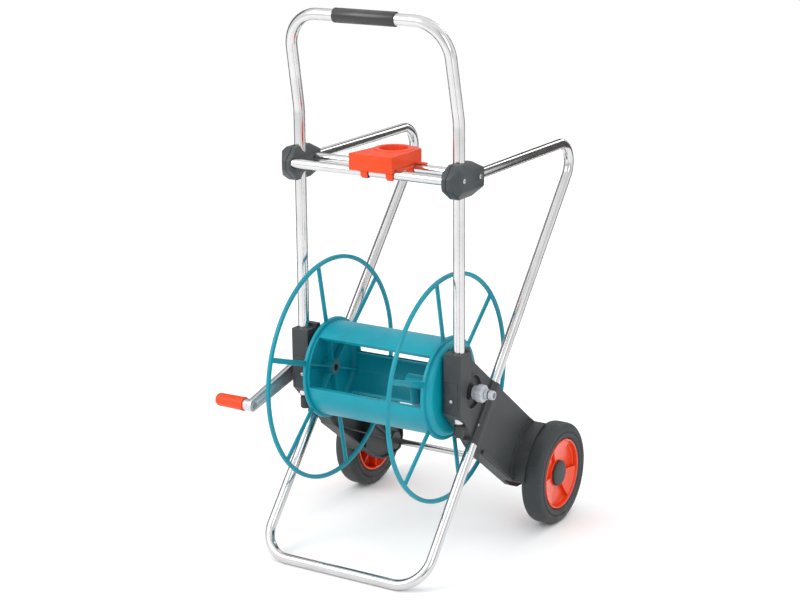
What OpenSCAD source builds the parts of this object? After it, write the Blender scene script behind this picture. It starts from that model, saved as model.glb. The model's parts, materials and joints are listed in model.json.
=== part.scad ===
// Garden hose reel cart: tube frame, hose drum, crank, two wheels, water swivel and clip-on tray.
// Millimetres. X runs across the cart, -Y is the front, +Y the wheel side, Z is up from the ground.

/* [Handle] */
// Distance from the cart's middle to each upright
post_x = 156; // [154:1:158]
// Outer radius of the handle tube
post_r = 10; // [9.5:0.5:10]
// Lower end of the uprights above the ground
post_foot_z = 262; // [260:1:264]
// Height at which the uprights start to lean forward
kink_z = 772; // [760:1:790]
// Forward reach of the handle bar from the uprights
handle_reach = 33; // [20:1:45]
// Height of the handle bar
handle_z = 938; // [920:1:950]
// Bend radius of the handle's upper corners
handle_corner_r = 62; // [50:1:75]
// Inward lean of the legs above the kink, in degrees
handle_taper = 1.2; // [0:0.1:2]
// Length of the sleeve on the handle bar
sleeve_len = 118; // [90:1:130]

/* [Support tube] */
// Distance from the cart's middle to each support leg
leg_x = 162; // [161:0.5:163]
// Outer radius of the support tube
leg_r = 9; // [8.5:0.5:9]
// Foot bar position in front of the uprights
foot_reach = 138; // [130:1:145]
// Height of the arms that run back from the clamps
arm_z = 680; // [676:1:684]
// Where arm and leg would meet, behind the uprights
arm_reach = 430; // [420:1:440]
// Bend radius between arm and leg
arm_bend_r = 38; // [30:1:45]
// Bend radius between leg and foot bar
foot_bend_r = 55; // [45:1:65]

/* [Crossbars and clamps] */
// Radius of the two crossbars
bar_r = 8; // [7.5:0.5:8]
// Height of the crossbars
bar_z = 683; // [681:1:685]
// Front crossbar position in front of the uprights
bar_front_y = -34; // [-35:1:-33]
// Rear crossbar position behind the uprights
bar_rear_y = 30; // [29:1:31]

/* [Drum] */
// Drum axis behind the uprights
drum_y = 31; // [29:1:33]
// Drum axis above the ground
drum_z = 309; // [307:1:311]
// Drum barrel radius
drum_r = 84; // [80:1:86]
// Outer radius of the flange hoops
hoop_r = 200; // [190:1:205]
// Distance from the cart's middle to each flange
flange_x = 118; // [117:0.5:118]
// Direction of the first spoke, from the rear towards the top
spoke_phase = 41.5; // [0:0.5:59]
// Direction of the first drum strip's middle
strip_phase = 98; // [0:1:119]

/* [Crank] */
// Distance from the drum axis to the grip
crank_len = 162; // [150:1:180]
// Drop of the crank below level, in degrees
crank_drop = 13; // [0:0.5:30]
// Length of the turning grip
grip_len = 58; // [50:1:70]

/* [Wheels] */
// Tyre radius
wheel_r = 93; // [90:1:95]
// Tyre width
tyre_w = 39; // [36:1:42]
// Outer radius of the rim
rim_r = 64; // [60:1:66]
// Distance from the cart's middle to each tyre's middle
wheel_x = 197.5; // [197:0.5:200]
// Axle position behind the uprights
axle_y = 272; // [268:1:276]

/* [Tray] */
// Height of the tray's top face
tray_z = 714; // [712:1:718]
// Radius of the cup in the tray
cup_r = 25; // [22:1:26]

/* [Hidden] */
$fn = 64;
wall = 3;
run_gap = 0.05;
fit_gap = 0.3;

crank_in = 176.5;
crank_t = 9;
ferrule_len = 9;
grip_in = crank_in + crank_t + ferrule_len + fit_gap;
grip_end_x = grip_in + grip_len;
pin_r = 4;

// The row's origin is the middle of the outer box on the ground, so every node is shifted by this much
leg_tilt = atan2(arm_reach + foot_reach, arm_z - leg_r);
arm_tangent = arm_bend_r * tan((90 + leg_tilt) / 2);
rear_end_y = arm_reach - arm_tangent + arm_bend_r + leg_r;
front_end_y = drum_y - hoop_r;
mid_x = (wheel_x + tyre_w / 2 - grip_end_x) / 2;
mid_y = (rear_end_y + front_end_y) / 2;

post_bore_r = post_r + run_gap;
tube_wall = 1.2;
tube_sides = 16;
plug_r = (post_r - tube_wall) * cos(180 / tube_sides) - run_gap;
handle_lean = atan2(handle_reach, handle_z - kink_z);
handle_rise = norm([handle_reach, handle_z - kink_z]);
handle_leg = (handle_rise - handle_corner_r * (1 - sin(handle_taper))) / cos(handle_taper);
kink_r = 90;
kink_tangent = kink_r * tan(handle_lean / 2);

axle_z = wheel_r;
axle_r = 6;
plate_in = 137;
plate_out = 164;
web_t = 4;
recess_web_x = 143;
arch_r = 95;
arch_out = 188;
box_out = 169.5;
box_half = 18;
box_top = 385;
box_low_front = 278;
box_low_rear = 241;
seat_r = 29;
boss_r = seat_r + 2;
shaft_r = 9;
bush_r = 13;
spigot_r = 14;
nose_r = 9;
water_r = 5.5;
nipple_r = 8;
clip_low = 268;
clip_high = 384;
clip_half = 14;
clip_out = 174;
clip_face = 168.8;
clip_screw_s = [300, 352];
function clip_screw_side(s) = s < 330 ? -11.5 : 11.5;
cover_screw_x = 150.5;
cover_screw_z = 303;

clamp_in = 143;
clamp_out = 176.5;
bar_end = 150;
bar_socket_end = 151;
arm_start_y = 24;
clamp_screw_y = [-16, 38];
clamp_screw_z = [682, 680];
clamp_screw_len = [28, 3];
clamp_hole_from = [145, 165];
screw_r = 2;

drum_end = 130;
drum_corner = 12;
drum_wall = 3;

// ---------- placing ----------

// Moves the cart from its working frame, uprights at Y = 0, to the row's origin
module placed() {
    translate([-mid_x, -mid_y, 0]) children();
}

// Left-hand copy of a right-hand piece
module left() {
    mirror([1, 0, 0]) children();
}

// Turns local X, Y, Z into the cart's Y, Z, X
module along_x() {
    rotate([90, 0, 90]) children();
}

// The same, on the drum's axis
module on_drum_axis() {
    translate([0, drum_y, drum_z]) along_x() children();
}

// The same, on the wheel axle
module on_axle() {
    translate([0, axle_y, axle_z]) along_x() children();
}

// Frame with its origin at the foot bar and Z up along the support legs
module on_leg() {
    translate([0, -foot_reach, leg_r]) rotate([-leg_tilt, 0, 0]) children();
}

// Solid or tube with its axis along X, between two X values
module x_rod(r, x_from, x_to) {
    translate([x_from, 0, 0]) rotate([0, 90, 0]) cylinder(r = r, h = x_to - x_from);
}

// Ring on local Z between two heights
module ring(r_out, r_in, z_from, z_to) {
    translate([0, 0, z_from]) difference() {
        cylinder(r = r_out, h = z_to - z_from);
        translate([0, 0, -1]) cylinder(r = r_in, h = z_to - z_from + 2);
    }
}

// Rectangle with round corners, made of true arcs
module round_rect(x_from, y_from, x_to, y_to, r) {
    translate([x_from + r, y_from]) square([x_to - x_from - 2 * r, y_to - y_from]);
    translate([x_from, y_from + r]) square([x_to - x_from, y_to - y_from - 2 * r]);
    for (x = [x_from + r, x_to - r], y = [y_from + r, y_to - r])
        translate([x, y]) circle(r = r);
}

// Straight wall of a 2D outline, on the left of the line from p to q
module wall_strip(p, q, t) {
    translate(p) rotate(atan2(q[1] - p[1], q[0] - p[0])) square([norm(q - p), t]);
}

// Pan-head screw on local Z, head on top of z = 0
module screw(shank_r, shank_len, head_r, head_h) {
    difference() {
        union() {
            translate([0, 0, -shank_len]) cylinder(r = shank_r, h = shank_len);
            cylinder(r = head_r, h = head_h * 0.6);
            translate([0, 0, head_h * 0.6]) cylinder(r1 = head_r, r2 = head_r * 0.7, h = head_h * 0.4);
        }
        for (a = [0, 90])
            rotate(a) translate([-head_r * 0.55, -head_r * 0.12, head_h * 0.5])
                cube([head_r * 1.1, head_r * 0.24, head_h]);
    }
}

// ---------- handle ----------

// Points on an arc: centre, two unit directions, radius, first and last angle, number of steps
function arc_points(centre, e1, e2, radius, a_from, a_to, steps) = [
    for (i = [0 : steps])
        let (a = a_from + (a_to - a_from) * i / steps)
        centre + radius * (cos(a) * e1 + sin(a) * e2)
];

// A route on the right-hand side, continued by its mirror image on the left
function both_sides(route) = concat(route,
    [for (i = [len(route) - 1 : -1 : 0]) [-route[i][0], route[i][1], route[i][2]]]);

function unit(v) = v / norm(v);

// Direction of a route at each of its points
function directions(route) = let (last = len(route) - 1) [
    for (i = [0 : last]) unit(route[min(i + 1, last)] - route[max(i - 1, 0)])
];

// Side direction at each point, turned along with the route so that the tube does not twist
function side_directions(dirs, first) = [
    for (i = 0, u = first; i < len(dirs);
        i = i + 1, u = i < len(dirs) ? unit(u - dirs[i] * (u * dirs[i])) : u) u
];

// Bent hollow tube along a route: an outer and an inner skin, closed by a ring at both ends
module bent_tube(route, r, first_side) {
    n = len(route);
    m = tube_sides;
    dirs = directions(route);
    sides = side_directions(dirs, first_side);
    skin = [
        for (radius = [r, r - tube_wall], i = [0 : n - 1], k = [0 : m - 1])
            let (a = 360 * k / m)
            route[i] + radius * (cos(a) * sides[i] + sin(a) * cross(dirs[i], sides[i]))
    ];
    inner = n * m;
    walls = [
        for (i = [0 : n - 2], k = [0 : m - 1])
            let (a = i * m + k, b = i * m + (k + 1) % m)
            each [[a, a + m, b], [b, a + m, b + m],
                [inner + a, inner + b, inner + a + m], [inner + b, inner + b + m, inner + a + m]]
    ];
    ends = [
        for (k = [0 : m - 1])
            let (q = (k + 1) % m, e = (n - 1) * m)
            each [[k, q, inner + k], [q, inner + q, inner + k],
                [e + k, inner + e + k, e + q], [e + q, inner + e + k, inner + e + q]]
    ];
    polyhedron(points = skin, faces = concat(walls, ends), convexity = 10);
}

// Right-hand half of the handle: upright, kink, leaning leg and corner
handle_up = [0, -sin(handle_lean), cos(handle_lean)];
handle_leg_end = [post_x, 0, kink_z] + handle_leg * [-sin(handle_taper), 0, 0]
    + handle_leg * cos(handle_taper) * handle_up;
handle_corner = handle_leg_end - handle_corner_r * ([cos(handle_taper), 0, 0] + sin(handle_taper) * handle_up);
handle_route = concat(
    [[post_x, 0, post_foot_z]],
    arc_points([post_x, -kink_r, kink_z - kink_tangent], [0, 1, 0], [0, 0, 1], kink_r, 0, handle_lean, 3),
    arc_points(handle_corner, [1, 0, 0], handle_up, handle_corner_r, handle_taper, 90, 9)
);

module handle_tube() {
    color("gainsboro") placed() bent_tube(both_sides(handle_route), post_r, [1, 0, 0]);
}

module handle_sleeve() {
    color([0.08, 0.08, 0.09]) placed() translate([0, -handle_reach, handle_z]) rotate([0, 90, 0])
        rotate_extrude() translate([0, -sleeve_len / 2])
            round_rect(post_r + run_gap, 0, post_r + 2.4, sleeve_len, 1.1);
}

// Plug in the open lower end of each upright, with a round bumper under it
module post_end_caps() {
    color([0.1, 0.1, 0.11]) placed() for (side = [-1, 1]) translate([side * post_x, 0, 0]) {
        translate([0, 0, post_foot_z]) cylinder(r = plug_r, h = 14);
        translate([0, 0, 256]) cylinder(r = 4, h = 7);
        translate([0, 0, 236]) rotate_extrude() intersection() {
            round_rect(-9, 0, 9, 22, 3);
            square([9, 22]);
        }
    }
}

// ---------- support tube ----------

// Right-hand half of the support tube: arm, rear bend, leg and the bend into the foot bar
leg_up = [0, sin(leg_tilt), cos(leg_tilt)];
foot_bend = [leg_x - foot_bend_r, -foot_reach, leg_r] + foot_bend_r * leg_up;
support_route = concat(
    [[leg_x, arm_start_y, arm_z]],
    arc_points([leg_x, arm_reach - arm_tangent, arm_z - arm_bend_r], [0, 1, 0], [0, 0, 1],
        arm_bend_r, 90, -leg_tilt, 11),
    arc_points(foot_bend, [1, 0, 0], leg_up, foot_bend_r, 0, -90, 9)
);

module support_tube() {
    color("silver") placed() bent_tube(both_sides(support_route), leg_r, [1, 0, 0]);
}

// ---------- crossbars and clamps ----------

module crossbar(y) {
    color("gainsboro") placed() translate([0, y, bar_z]) difference() {
        x_rod(bar_r, -bar_end, bar_end);
        x_rod(bar_r - tube_wall, -bar_end - 1, bar_end + 1);
    }
}

module crossbar_front() {
    crossbar(bar_front_y);
}

module crossbar_rear() {
    crossbar(bar_rear_y);
}

// Faceted outer block of a clamp: side, front and plan outlines cut from each other
module clamp_block() {
    side_points = [[-44, 672], [-44, 688], [-24, 708], [22, 708],
        [56, 690], [56, 665], [22, 650], [-20, 650]];
    front_points = [[143, 672], [143, 690], [150, 708], [168, 708],
        [176.5, 696], [176.5, 664], [168, 650], [150, 650]];
    plan_points = [[148, -44], [164, -44], [176.5, -24], [176.5, 46],
        [172, 56], [151, 56], [143, 42], [143, -32]];
    intersection() {
        translate([130, 0, 0]) along_x() linear_extrude(60) polygon(side_points);
        translate([0, 70, 0]) rotate([90, 0, 0]) linear_extrude(140) polygon(front_points);
        translate([0, 0, 640]) linear_extrude(90) polygon(plan_points);
    }
}

// Bores for the upright, both crossbars, the support arm, the bolt and the set screw
module clamp_bores() {
    translate([post_x, 0, 640]) cylinder(r = post_bore_r, h = 90);
    for (y = [bar_front_y, bar_rear_y])
        translate([0, y, bar_z]) x_rod(bar_r + run_gap, clamp_in - 2, bar_socket_end);
    translate([leg_x, arm_start_y - 1, arm_z]) rotate([-90, 0, 0]) cylinder(r = leg_r + run_gap, h = 50);
    for (i = [0, 1]) translate([0, clamp_screw_y[i], clamp_screw_z[i]]) {
        x_rod(screw_r + run_gap, clamp_hole_from[i], clamp_out + 1);
        x_rod(4.6, clamp_out - 2.2, clamp_out + 1);
    }
}

module clamp_half(x_from, x_to) {
    color([0.24, 0.28, 0.29]) difference() {
        intersection() {
            clamp_block();
            translate([x_from, -60, 640]) cube([x_to - x_from, 130, 90]);
        }
        clamp_bores();
    }
}

module clamp_right_inner() {
    placed() clamp_half(130, post_x - 0.2);
}

module clamp_right_outer() {
    placed() clamp_half(post_x + 0.2, 190);
}

module clamp_left_inner() {
    placed() left() clamp_half(130, post_x - 0.2);
}

module clamp_left_outer() {
    placed() left() clamp_half(post_x + 0.2, 190);
}

module clamp_bolts() {
    color("silver") placed() for (side = [0, 1]) mirror([side, 0, 0]) for (i = [0, 1])
        translate([clamp_out - 2.2, clamp_screw_y[i], clamp_screw_z[i]]) rotate([0, 90, 0])
            screw(screw_r, clamp_screw_len[i], 4.2, 2.4);
}

// ---------- side plates ----------

// Side outline of the arm that carries the axle, drawn in Y and Z, anticlockwise
arm_points = [[-18, 278], [18, 241], [62, 187], [199, 82], [226, 70], [262, 67], [290, 74],
    [299, 96], [296, 130], [286, 172], [255, 191], [32, 364], [22, 390], [10, 390]];

// The same outline moved inwards by d
function inset_points(points, d) = let (n = len(points)) [
    for (i = [0 : n - 1])
        let (
            a = points[(i + n - 1) % n],
            b = points[i],
            c = points[(i + 1) % n],
            u = (b - a) / norm(b - a),
            v = (c - b) / norm(c - b),
            side_a = [-u[1], u[0]],
            side_b = [-v[1], v[0]]
        )
        b + d * (side_a + side_b) / (1 + side_a * side_b)
];

module arch_disc(r) {
    translate([axle_y, axle_z]) circle(r = r);
}

// Layer of the plate, a 2D outline in Y and Z extruded between two X values
module plate_layer(x_from, x_to) {
    translate([x_from, 0, 0]) along_x() linear_extrude(x_to - x_from) children();
}

// Wall along the outline
module arm_wall() {
    difference() {
        polygon(arm_points);
        polygon(inset_points(arm_points, wall));
    }
}

// Ribs from the axle boss into the arm
module arm_ribs() {
    for (p = [[128, 270], [96, 232], [92, 176]])
        wall_strip([axle_y, axle_z], p, 2.4);
}

// Ring of the wheel arch, cut off just inside the arm's outline
module arch_ring(r_out, r_in) {
    intersection() {
        difference() {
            arch_disc(r_out);
            arch_disc(r_in);
        }
        polygon(inset_points(arm_points, 0.5));
    }
}

// Plate before its bores: skin, walls, ribs, wheel arch, socket for the upright and bosses
module plate_body() {
    plate_layer(plate_out - web_t, plate_out) difference() {
        polygon(arm_points);
        arch_disc(arch_r + 1);
    }
    plate_layer(plate_in, plate_out - 1) difference() {
        arm_wall();
        arch_disc(arch_r + 1);
    }
    plate_layer(plate_in + 4, plate_out - 1) difference() {
        arm_ribs();
        arch_disc(arch_r + 1);
    }
    plate_layer(recess_web_x, recess_web_x + web_t) intersection() {
        polygon(arm_points);
        arch_disc(arch_r + 1.5);
    }
    plate_layer(plate_in, recess_web_x + 1) intersection() {
        arm_wall();
        arch_disc(arch_r + 2);
    }
    plate_layer(plate_in + 2, recess_web_x + 1) intersection() {
        arm_ribs();
        arch_disc(arch_r + 2);
    }
    plate_layer(recess_web_x, arch_out) arch_ring(arch_r + wall, arch_r);
    plate_layer(plate_out - 1, plate_out + 2) arch_ring(arch_r + 14, arch_r + 1);
    plate_layer(plate_out - 1, plate_out + 4) intersection() {
        difference() {
            wall_strip([62, 187], [199, 82], 8);
            arch_disc(arch_r + 1.2);
        }
        polygon(inset_points(arm_points, 0.9));
    }
    plate_layer(plate_in, box_out) polygon([[-box_half, box_low_front], [box_half, box_low_rear],
        [box_half, box_top], [-box_half, box_top]]);
    on_drum_axis() translate([0, 0, plate_in]) cylinder(r = boss_r, h = plate_out - plate_in - 1);
    on_drum_axis() ring(seat_r + 2.5, seat_r - 1, plate_out - 3, plate_out + 1.5);
    on_axle() translate([0, 0, plate_in]) cylinder(r = 17, h = 168 - plate_in);
    on_leg() translate([149, -clip_half, clip_low]) cube([leg_x - 149, 2 * clip_half, clip_high - clip_low]);
}

module side_plate(bore) {
    color([0.29, 0.31, 0.32]) difference() {
        plate_body();
        on_drum_axis() translate([0, 0, plate_out - 4]) cylinder(r = seat_r, h = 12);
        on_drum_axis() translate([0, 0, plate_in - 1]) cylinder(r = bore, h = 40);
        on_axle() translate([0, 0, plate_in - 1]) cylinder(r = axle_r + run_gap, h = 50);
        on_leg() translate([leg_x, 0, clip_low - 60])
            cylinder(r = leg_r + run_gap, h = clip_high - clip_low + 120);
        on_leg() translate([leg_x, -clip_half - 0.3, clip_low - 20])
            cube([20, 2 * clip_half + 0.6, clip_high - clip_low + 40]);
        on_leg() for (s = clip_screw_s) translate([0, clip_screw_side(s), s]) x_rod(1.3, 150, 170);
        translate([post_x, 0, post_foot_z - run_gap]) cylinder(r = post_bore_r, h = 140);
        translate([post_x, 0, 250]) cylinder(r = 4.1, h = 20);
        translate([post_x, 0, 220]) cylinder(r = 9.4, h = 38.4);
        translate([138, -box_half - 1, 280]) cube([25.5, 4.2, 56.5]);
        translate([cover_screw_x, -box_half, cover_screw_z]) rotate([-90, 0, 0]) cylinder(r = 1.3, h = 9);
    }
}

module side_plate_right() {
    placed() side_plate(spigot_r + run_gap);
}

module side_plate_left() {
    placed() left() side_plate(bush_r + run_gap);
}

// Flat cover let into the front of the upright's socket
module post_cover() {
    color([0.36, 0.38, 0.4]) difference() {
        translate([138.4, -box_half - 0.6, 280.4]) cube([24.7, 3.6, 55.7]);
        translate([cover_screw_x, -box_half - 2, cover_screw_z]) rotate([-90, 0, 0]) {
            cylinder(r = 1.6, h = 9);
            cylinder(r = 3.4, h = 2.6);
        }
    }
}

module post_cover_right() {
    placed() post_cover();
}

module post_cover_left() {
    placed() left() post_cover();
}

// Strip with a raised ridge that holds the support leg in its channel
module tube_clip() {
    color([0.3, 0.32, 0.34]) on_leg() difference() {
        translate([0, 0, clip_low]) linear_extrude(clip_high - clip_low)
            polygon([[leg_x + 0.2, -clip_half], [clip_face, -clip_half], [clip_face, -8.5], [clip_out, -5.5],
                [clip_out, 5.5], [clip_face, 8.5], [clip_face, clip_half], [leg_x + 0.2, clip_half]]);
        translate([leg_x, 0, clip_low - 1]) cylinder(r = leg_r + run_gap, h = clip_high - clip_low + 2);
        for (s = clip_screw_s) translate([0, clip_screw_side(s), s]) {
            x_rod(1.6, 160, 180);
            x_rod(3.2, clip_face - 1.6, 180);
        }
    }
}

module tube_clip_right() {
    placed() tube_clip();
}

module tube_clip_left() {
    placed() left() tube_clip();
}

// Screws of both post covers and both tube clips
module housing_screws() {
    color("silver") placed() for (side = [0, 1]) mirror([side, 0, 0]) {
        translate([cover_screw_x, -box_half + 0.6, cover_screw_z]) rotate([90, 0, 0]) screw(1.25, 7, 3, 1.6);
        on_leg() for (s = clip_screw_s) translate([clip_face - 1.6, clip_screw_side(s), s])
            rotate([0, 90, 0]) screw(1.25, 14, 2.8, 2);
    }
}

// ---------- drum bearings and water path ----------

// Bush that the crank shaft turns in, pressed into the left plate
module drive_bush() {
    color([0.12, 0.12, 0.13]) placed() left() on_drum_axis() {
        ring(bush_r, shaft_r + run_gap, plate_in - 1, 166);
        ring(17, shaft_r + run_gap, plate_in - 3, plate_in - 0.1);
    }
}

// Fixed hollow spigot: the drum turns on it and the water runs through it
module water_spigot() {
    color([0.2, 0.21, 0.22]) placed() on_drum_axis() difference() {
        union() {
            translate([0, 0, 58]) cylinder(r = nose_r, h = 43);
            translate([0, 0, 100]) cylinder(r = spigot_r, h = 66);
            translate([0, 0, 131.2]) cylinder(r = 21, h = plate_in - 131.4);
            translate([0, 0, 166]) cylinder(r = 10, h = 13);
        }
        translate([0, 0, 57]) cylinder(r = water_r, h = 140);
        for (x = [70, 82]) ring(nose_r + 1, 6.2, x - 1.6, x + 1.6);
    }
}

module spigot_seals() {
    color("black") placed() on_drum_axis() for (x = [70, 82]) translate([0, 0, x])
        rotate_extrude() translate([7.6, 0]) circle(r = 1.35);
}

// Grooved swivel collar outside the right plate
module inlet_collar() {
    color([0.7, 0.71, 0.73]) placed() on_drum_axis() difference() {
        union() {
            translate([0, 0, 168.5]) cylinder(r = 12, h = 8);
            translate([0, 0, 176]) cylinder(r = 15.3, h = 11);
            translate([0, 0, 187]) cylinder(r1 = 15.3, r2 = 11.5, h = 3);
        }
        translate([0, 0, 160]) cylinder(r = 10 + run_gap, h = 20);
        translate([0, 0, 160]) cylinder(r = 8 + run_gap, h = 60);
        for (a = [0 : 45 : 359]) rotate(a) translate([17.2, 0, 174]) cylinder(r = 3.2, h = 18, $fn = 24);
    }
}

// Male click nipple that the supply hose snaps onto
module inlet_nipple() {
    color([0.72, 0.73, 0.75]) placed() on_drum_axis() difference() {
        union() {
            translate([0, 0, 179.9]) cylinder(r = nipple_r, h = 25.1);
            translate([0, 0, 192]) cylinder(r = 9.2, h = 3);
            translate([0, 0, 205]) cylinder(r1 = nipple_r, r2 = 7, h = 1.5);
        }
        translate([0, 0, 175]) cylinder(r = water_r, h = 40);
        ring(12, 6.8, 196.2, 198.2);
    }
}

module inlet_seal() {
    color("black") placed() on_drum_axis() rotate_extrude() translate([7.85, 197.2]) circle(r = 0.98);
}

// ---------- wheel axle ----------

module wheel_axle() {
    color("gainsboro") placed() translate([0, axle_y, axle_z]) x_rod(axle_r, -209, 209);
}

// Spacer between each plate and its wheel
module wheel_spacers() {
    color([0.15, 0.15, 0.16]) placed() for (side = [0, 1]) mirror([side, 0, 0])
        on_axle() ring(9.5, axle_r + run_gap, 168.2, 177.6);
}

// Push-on washer that keeps each wheel on the axle
module axle_retainers() {
    color("silver") placed() for (side = [0, 1]) mirror([side, 0, 0]) on_axle() difference() {
        ring(9.5, axle_r, 204.4, 206.9);
        for (a = [30 : 60 : 359]) rotate(a) translate([5, -0.6, 203]) cube([3, 1.2, 5]);
    }
}

// ---------- drum ----------

// Half section of the barrel: a shell with rounded ends, open round its axis
module drum_section() {
    rotate_extrude($fn = 96) difference() {
        round_rect(-drum_r, -drum_end, drum_r, drum_end, drum_corner);
        round_rect(drum_wall - drum_r, drum_wall - drum_end, drum_r - drum_wall, drum_end - drum_wall,
            drum_corner - drum_wall);
        translate([-drum_r - 1, -drum_end - 1]) square([drum_r + 21, 2 * drum_end + 2]);
    }
}

// Six ribs inside one end of the barrel, on local Z, starting at the hub's radius
module drum_end_ribs(from) {
    inner = drum_end - drum_wall + 1;
    wall_at = drum_r - 1.4;
    for (a = [0 : 60 : 359]) rotate(a + spoke_phase) rotate([90, 0, 0])
        translate([0, 0, -1.3]) linear_extrude(2.6)
            polygon([[from, inner - 15], [wall_at, inner - 15], [wall_at, inner - 10],
                [wall_at - 2.3, inner - 3.6], [wall_at - 8, inner], [from, inner]]);
}

// Cutter for one window between two strips
module drum_window() {
    rotate_extrude(angle = 65) translate([drum_r - drum_wall - 4, -112]) square([drum_wall + 10, 224]);
}

// Open barrel: two closed ends joined by three curved strips with turned-in edges
module drum_shell() {
    color([0, 0.6, 0.68]) placed() on_drum_axis() difference() {
        union() {
            difference() {
                drum_section();
                for (a = [0, 120, 240]) rotate(a + strip_phase + 27.5) drum_window();
            }
            ring(22, 17 + run_gap, 99.5, drum_end + 0.5);
            mirror([0, 0, 1]) rotate_extrude()
                polygon([[shaft_r + 0.01, 113], [14, 113], [14, drum_end - 2.6], [23, drum_end - 2.6],
                    [23, drum_end + 0.5], [shaft_r + 0.01, drum_end + 0.5]]);
            drum_end_ribs(21);
            mirror([0, 0, 1]) drum_end_ribs(13);
            for (a = [0, 120, 240], s = [-1, 1]) rotate(a + strip_phase + s * 26.3)
                translate([drum_r - 9, -1.2, -115]) cube([8, 2.4, 230]);
        }
        for (a = [0 : 120 : 359]) rotate(a + 40) translate([19.5, 0, 99]) cylinder(r = 1.2, h = 14, $fn = 24);
    }
}

// Hoop with six ribbed spokes and the ring that sits on the barrel
module flange() {
    rotate_extrude($fn = 160)
        polygon([[192.5, -2], [195, -3.2], [hoop_r - 1, -3.2], [hoop_r, -2.2],
            [hoop_r, 2.2], [hoop_r - 1, 3.2], [195, 3.2], [192.5, 2]]);
    ring(90, drum_r + run_gap, -3, 3);
    for (a = [0 : 60 : 359]) rotate(a + spoke_phase) {
        translate([88, -4.7, -1.7]) cube([hoop_r - 93, 9.4, 3.4]);
        translate([88, -1.4, -2.8]) cube([hoop_r - 93.5, 2.8, 5.6]);
    }
}

module flange_right() {
    color([0, 0.58, 0.66]) placed() on_drum_axis() translate([0, 0, flange_x]) flange();
}

module flange_left() {
    color([0, 0.58, 0.66]) placed() on_drum_axis() translate([0, 0, -flange_x]) flange();
}

// Bearing bush in the drum's right hub, running on the spigot
module spigot_bush() {
    color([0.85, 0.85, 0.8]) placed() on_drum_axis() ring(17, spigot_r + run_gap, 100, 130.6);
}

// Elbow that turns with the drum and takes the water from the spigot to the hose
elbow_dir = strip_phase + 180;
module swivel_elbow() {
    color([0, 0.5, 0.58]) placed() on_drum_axis() difference() {
        union() {
            translate([0, 0, 38]) cylinder(r = 12.5, h = 56);
            translate([0, 0, 90]) cylinder(r = 22, h = 9.4);
            translate([0, 0, 50]) rotate([0, 0, elbow_dir]) rotate([0, 90, 0]) cylinder(r = 9.5, h = 40);
        }
        translate([0, 0, 57]) cylinder(r = nose_r + run_gap, h = 50);
        translate([0, 0, 43]) cylinder(r = water_r, h = 16);
        translate([0, 0, 50]) rotate([0, 0, elbow_dir]) rotate([0, 90, 0]) cylinder(r = water_r - 0.8, h = 50);
        translate([0, 0, 50]) rotate([0, 0, elbow_dir]) rotate([0, 90, 0]) translate([0, 0, 32])
            cylinder(r = 7.5, h = 10);
        for (a = [0 : 120 : 359]) rotate(a + 40) translate([19.5, 0, 89]) cylinder(r = 1.4, h = 12, $fn = 24);
    }
}

module elbow_screws() {
    color("silver") placed() on_drum_axis() for (a = [0 : 120 : 359])
        rotate(a + 40) translate([19.5, 0, 90]) mirror([0, 0, 1]) screw(1.15, 18, 2.4, 1.8);
}

// Nipple inside the barrel that the wound hose snaps onto
module hose_nipple() {
    color([0.72, 0.73, 0.75]) placed() on_drum_axis() translate([0, 0, 50]) rotate([0, 0, elbow_dir])
        rotate([0, 90, 0]) difference() {
            union() {
                translate([0, 0, 32.1]) cylinder(r = 7.45, h = 8);
                translate([0, 0, 40]) cylinder(r = nipple_r, h = 20);
                translate([0, 0, 47]) cylinder(r = 9.2, h = 3);
                translate([0, 0, 60]) cylinder(r1 = nipple_r, r2 = 7, h = 1.5);
            }
            translate([0, 0, 30]) cylinder(r = water_r, h = 40);
            ring(12, 6.8, 51.2, 53.2);
        }
}

// ---------- crank ----------

module drive_shaft() {
    color("silver") placed() left() on_drum_axis() ring(shaft_r, 6, 110.6, crank_in);
}

// Ring that holds the shaft against the drum's left hub
module shaft_washer() {
    color("silver") placed() left() on_drum_axis() ring(14, shaft_r + 0.02, 110.6, 112.9);
}

// Puts local Z on the crank's end of the arm, local X pointing away from the drum axis
module on_crank() {
    left() on_drum_axis() rotate([0, 0, 180 + crank_drop]) children();
}

// Tapered link outline from the hub, r1, to the grip end, r2
module link_plan(r1, r2, length) {
    a = asin((r1 - r2) / length);
    circle(r = r1);
    translate([length, 0]) circle(r = r2);
    polygon([[r1 * sin(a), r1 * cos(a)], [r1 * sin(a), -r1 * cos(a)],
        [length + r2 * sin(a), -r2 * cos(a)], [length + r2 * sin(a), r2 * cos(a)]]);
}

module crank_arm() {
    color([0.68, 0.7, 0.73]) placed() on_crank() translate([0, 0, crank_in]) difference() {
        union() {
            difference() {
                linear_extrude(crank_t) link_plan(15, 11, crank_len);
                translate([0, 0, 2.5]) linear_extrude(crank_t) link_plan(12.6, 8.6, crank_len);
            }
            cylinder(r = 13, h = crank_t);
            translate([crank_len, 0, 0]) cylinder(r = 9.5, h = crank_t);
        }
        translate([0, 0, -1]) cylinder(r = 6, h = crank_t + 2);
        translate([crank_len, 0, -1]) cylinder(r = pin_r, h = crank_t + 2);
    }
}

// Hub screw from the outside of the arm into the hollow shaft
module crank_screw() {
    color("silver") placed() left() on_drum_axis()
        translate([0, 0, crank_in + crank_t]) screw(5.95, 42, 10, 4);
}

module crank_ferrule() {
    color([0.8, 0.81, 0.84]) placed() on_crank() translate([crank_len, 0, 0])
        ring(10.5, pin_r, crank_in + crank_t, crank_in + crank_t + ferrule_len);
}

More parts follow.
